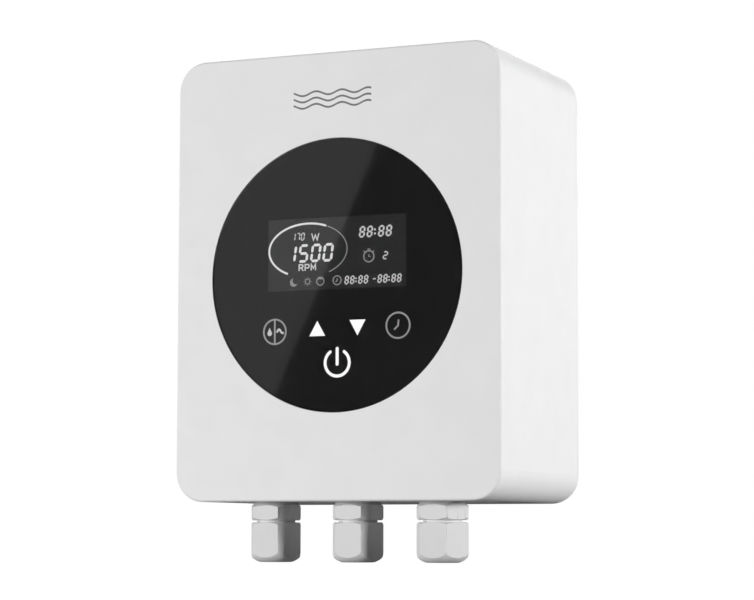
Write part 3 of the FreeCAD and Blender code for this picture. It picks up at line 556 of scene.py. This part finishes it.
def stopwatch(cx, cz, r):
    """A round face with a knob, two ears and hands at a right angle."""
    top = [stroke([(cx - 0.7, cz + r + 0.7), (cx + 0.7, cz + r + 0.7)], 0.5)]
    ears = [stroke([(cx + s * r * 0.8, cz + r * 0.8), (cx + s * r, cz + r)], 0.5)
            for s in (-1, 1)]
    hand = [stroke([(cx, cz + 0.9), (cx, cz - 0.1), (cx + 0.9, cz - 0.1)], 0.4)]
    return ring(cx, cz, r, 0.6) + top + ears + hand


def moon(cx, cz, r):
    """A crescent, open to the upper right."""
    inner = arc(cx + r * 0.55, cz + r * 0.45, r * 0.85, r * 0.85, 320, 120, 24)
    return [arc(cx, cz, r, r, 100, 340, 24) + inner]


def sun(cx, cz, r):
    """A ring with eight short rays."""
    rays = []
    for i in range(8):
        a = math.radians(45 * i)
        ray = [(cx + math.cos(a) * (r + k), cz + math.sin(a) * (r + k)) for k in (0.35, 0.9)]
        rays.append(stroke(ray, 0.3))
    return ring(cx, cz, r, 0.4) + rays


# ---- Prints and signs --------------------------------------------------------------------------
def plate(name, outlines, y, thickness, material):
    """Thin plates with the given outlines, with the front at y and the rear thickness mm behind."""
    mesh = bpy.data.meshes.new(name)
    made = bmesh.new()
    for outline in outlines:
        area = sum(a[0] * b[1] - b[0] * a[1] for a, b in zip(outline, outline[1:] + outline[:1]))
        ordered = outline if area > 0 else outline[::-1]
        front = [made.verts.new((x * MM, y, z * MM)) for x, z in ordered]
        rear = [made.verts.new((x * MM, y + thickness * MM, z * MM)) for x, z in ordered]
        made.faces.new(front)
        made.faces.new(rear[::-1])
        for i, first in enumerate(front):
            j = (i + 1) % len(front)
            made.faces.new((first, rear[i], rear[j], front[j]))
    made.normal_update()
    made.to_mesh(mesh)
    made.free()
    piece = bpy.data.objects.new(name, mesh)
    mesh.materials.append(material)
    bpy.context.scene.collection.objects.link(piece)
    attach(piece, "case")


def lit_plate(name, outlines, y, strength):
    plate(name, outlines, y, PRINT_T, lit(name, strength))


def glass_print():
    """Black ink on the rear of the glass, open over the display, and on the glass's edge."""
    shader = Shader("black_print")
    shader.link(shader.mottled(shader.noise(3000, 2), INK, 0.15), "Base Color")
    shader.set(Roughness=GLASS_ROUGH)
    left, right, low, high = WINDOW
    r, mid = GLASS_R - 0.02, (left + right) / 2
    start = math.degrees(math.acos(mid / r))
    west = arc(0, 0, r, r, start, 360 - start, 96)
    west += [(mid, low), (left, low), (left, high), (mid, high)]
    east = arc(0, 0, r, r, -start, start, 96)
    east += [(mid, high), (right, high), (right, low), (mid, low)]
    plate("glass_print", [west, east], GLASS_REAR - PRINT_BACK, PRINT_T, shader.material)
    edge = ring(0, 0, GLASS_R + 0.08, 0.05)
    plate("glass_edge_print", edge, FACE_Y + EDGE_PRINT_BACK, EDGE_PRINT_T, shader.material)


def display():
    """What the display shows: a speed gauge, power and speed in figures, clocks and their signs."""
    y = LCD_FRONT - LCD_SIGN_LIFT
    bright = [stroke(arc(*GAUGE, *GAUGE_LIT, 64), GAUGE_STROKE)] + figures(*SPEED)
    middle = letters(*SPEED_UNIT) + letters(*POWER_UNIT) + figures(*POWER)
    middle += clock_digits(11.4, 16.2, *TIME_NOW) + figures(*COUNT)
    middle += clock_digits(4.3, -4.65, *TIME_SPAN) + clock_digits(20.6, -4.65, *TIME_SPAN)
    middle.append(stroke(TIME_DASH, SIGN_STROKE))
    dim = [stroke(arc(*GAUGE, *GAUGE_REST, 64), SIGN_STROKE)]
    dim += stopwatch(16.5, 7.6, 2.5) + moon(-21.0, -2.8, 1.9) + sun(-14.0, -2.6, 1.1)
    dim += ring(*BASIN, BASIN_R, SIGN_STROKE) + [stroke(BASIN_RIM, 0.6)]
    dim += clock(0.8, -2.6, 2.0, SIGN_STROKE)
    lit_plate("display_bright", bright, y, BRIGHT)
    lit_plate("display_middle", middle, y, MIDDLE)
    lit_plate("display_dim", dim, y, DIM)


def power_sign():
    """An open ring with a bar in its gap, all with round ends."""
    x, z = POWER_AT
    angle = math.radians(POWER_END)
    along, rise = POWER_R * math.cos(angle), POWER_R * math.sin(angle)
    ends = (180 - POWER_END, 360 + POWER_END)
    shapes = [stroke(arc(x, z, POWER_R, POWER_R, *ends, 64), POWER_STROKE)]
    shapes += disc(x + along, z + rise, POWER_CAP) + disc(x - along, z + rise, POWER_CAP)
    shapes.append(stroke([(x, z + BAR_LOW), (x, z + BAR_HIGH)], BAR_STROKE))
    return shapes + disc(x, z + BAR_LOW, BAR_CAP) + disc(x, z + BAR_HIGH, BAR_CAP)


def keys():
    """The five touch keys' signs, printed on the rear of the glass and lit from behind."""
    y = GLASS_REAR - SIGN_BACK
    bright = [UP_KEY, DOWN_KEY] + power_sign()
    cx, cz = MODE_KEY
    dim = clock(*TIMER_KEY, TIMER_R, RING_STROKE) + ring(cx, cz, MODE_R, RING_STROKE)
    dim.append(stroke([(cx, cz - MODE_BAR), (cx, cz + MODE_BAR)], RING_STROKE))
    drop = arc(cx - 2.6, cz - 0.7, 1.15, 1.15, -205, 25, 24) + [(cx - 2.6, cz + 1.9)]
    wave = [(cx + 1.0 + 3.4 * k / 12, cz + 0.2 + 0.9 * math.sin(2 * math.pi * k / 12 - 0.6))
            for k in range(13)]
    lit_plate("key_signs_bright", bright, y, KEY_BRIGHT)
    lit_plate("key_signs_dim", dim, y, KEY_DIM)
    lit_plate("key_signs_middle", [drop, stroke(wave, WAVE_KEY_STROKE)], y, MIDDLE)


# ---- Floor and light ---------------------------------------------------------------------------
def floor():
    """A plain pale floor some way below the part, which hangs on a wall that isn't shown.

    Only the camera sees it, so it neither lights the part nor shows in its gloss."""
    mesh = bpy.data.meshes.new("floor")
    level, reach = cad_box[0].z - FLOOR_DROP, FLOOR_REACH
    corners = ((-reach, -reach), (reach, -reach), (reach, reach), (-reach, reach))
    mesh.from_pydata([(x, y, level) for x, y in corners], [], [(0, 1, 2, 3)])
    shader = Shader("floor")
    shader.link(shader.mix(shader.noise(3, 2), rgba(FLOOR_DARK), rgba(FLOOR_PALE)), "Base Color")
    shader.set(Roughness=0.9, Emission_Color=rgba(WHITE), Emission_Strength=FLOOR_GLOW)
    mesh.materials.append(shader.material)
    ground = bpy.data.objects.new("floor", mesh)
    ground.visible_diffuse = False
    ground.visible_glossy = False
    bpy.context.scene.collection.objects.link(ground)


def area_light(name, width, height, power, place):
    data = bpy.data.lights.new(name, "AREA")
    data.shape = "RECTANGLE"
    data.size, data.size_y = width, height
    data.energy = power
    lamp = bpy.data.objects.new(name, data)
    lamp.matrix_world = place
    lamp.visible_camera = False
    bpy.context.scene.collection.objects.link(lamp)


def lights():
    for name, spot, width, height, power in LIGHTS:
        spot = Vector(spot)
        aim = (TARGET - spot).to_track_quat("-Z", "Y").to_matrix().to_4x4()
        area_light(name, width, height, power, Matrix.Translation(spot) @ aim)
    # The card whose slanting edge the glass mirrors: it faces +Y and lies to the left of that edge.
    up = (CARD_EDGE_HIGH - CARD_EDGE_LOW).normalized()
    back = Vector((0, -1, 0))
    across = up.cross(back)
    centre = (CARD_EDGE_LOW + CARD_EDGE_HIGH) / 2 - across * CARD_W / 2
    place = Matrix.Translation(centre) @ Matrix((across, up, back)).transposed().to_4x4()
    area_light("glass_card", CARD_W, CARD_H, CARD_POWER, place)


def world():
    """White behind everything the camera sees, and a dim even light on the part."""
    sky = bpy.data.worlds.new("studio")
    sky.use_nodes = True
    tree = sky.node_tree
    dim = tree.nodes["Background"]
    dim.inputs["Color"].default_value = rgba(WHITE)
    dim.inputs["Strength"].default_value = AMBIENT
    seen = tree.nodes.new("ShaderNodeBackground")
    seen.inputs["Color"].default_value = rgba(WHITE)
    path = tree.nodes.new("ShaderNodeLightPath")
    mixed = tree.nodes.new("ShaderNodeMixShader")
    tree.links.new(path.outputs["Is Camera Ray"], mixed.inputs["Fac"])
    tree.links.new(dim.outputs[0], mixed.inputs[1])
    tree.links.new(seen.outputs[0], mixed.inputs[2])
    tree.links.new(mixed.outputs[0], tree.nodes["World Output"].inputs["Surface"])
    bpy.context.scene.world = sky


camera()
dress_nodes()
threaded_bodies()
glass_print()
display()
keys()
floor()
lights()
world()
bpy.context.scene.view_settings.view_transform = "Standard"
